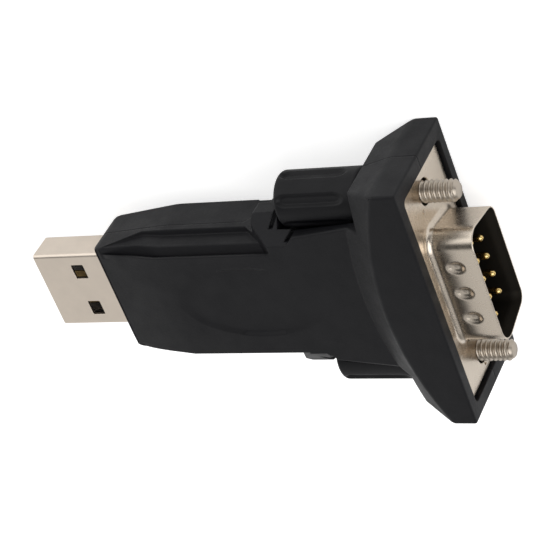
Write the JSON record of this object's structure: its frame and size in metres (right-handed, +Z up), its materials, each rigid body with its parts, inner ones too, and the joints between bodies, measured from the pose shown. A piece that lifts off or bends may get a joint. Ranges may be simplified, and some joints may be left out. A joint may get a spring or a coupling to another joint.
{
  "type": "usb to serial adapter",
  "caption": "Straight moulded adapter with a USB plug at one end and a D-shaped serial plug between thumbscrews at the other.",
  "frame": {"origin": "on the floor plane under the middle of the whole adapter, flange edge and housing as they stand level", "axes": "+X from the USB plug to the serial connector, +Y across the flange from one thumbscrew to the other, +Z up out of the broad face with the finger scoops"},
  "size_m": [0.066, 0.0356, 0.0164],
  "materials": {
    "housing": "satin black moulded plastic",
    "plug_shell": "satin nickel plate",
    "plug_tongue": "black moulded plastic",
    "contacts": "gold plate",
    "serial_shell": "bright nickel plate",
    "insulator": "black moulded plastic",
    "knob": "satin black moulded plastic",
    "screw": "nickel plate",
    "board": "green solder mask",
    "chips": "black moulded package",
    "capacitors": "fired ceramic",
    "fuse": "coated polymer",
    "crystal": "plated can",
    "resistors": "glazed ceramic"
  },
  "bodies": {
    "housing": {"upper_shell": "housing", "lower_shell": "housing", "usb_shell": "plug_shell", "usb_tongue": "plug_tongue", "usb_contact_1": "contacts", "usb_contact_2": "contacts", "usb_contact_3": "contacts", "usb_contact_4": "contacts", "serial_front_shell": "serial_shell", "serial_rear_shell": "serial_shell", "serial_insulator": "insulator", "serial_pin_1": "contacts", "serial_pin_2": "contacts", "serial_pin_3": "contacts", "serial_pin_4": "contacts", "serial_pin_5": "contacts", "serial_pin_6": "contacts", "serial_pin_7": "contacts", "serial_pin_8": "contacts", "serial_pin_9": "contacts", "circuit_board": "board", "line_transceiver": "chips", "usb_interface": "chips", "capacitor_1": "capacitors", "capacitor_2": "capacitors", "capacitor_3": "capacitors", "capacitor_4": "capacitors", "capacitor_5": "capacitors", "input_fuse": "fuse", "crystal": "crystal", "resistor_1": "resistors", "resistor_2": "resistors", "resistor_3": "resistors", "resistor_4": "resistors"},
    "left_thumbscrew": {"left_knob": "knob", "left_screw": "screw"},
    "right_thumbscrew": {"right_knob": "knob", "right_screw": "screw"}
  },
  "joints": [
    {"name": "left_thumbscrew_turn", "type": "hinge", "parent": "housing", "child": "left_thumbscrew", "pos_m": [0.008, 0.0125, 0.0082], "axis": [1, 0, 0], "continuous": true},
    {"name": "right_thumbscrew_turn", "type": "hinge", "parent": "housing", "child": "right_thumbscrew", "pos_m": [0.008, -0.0125, 0.0082], "axis": [1, 0, 0], "continuous": true}
  ]
}
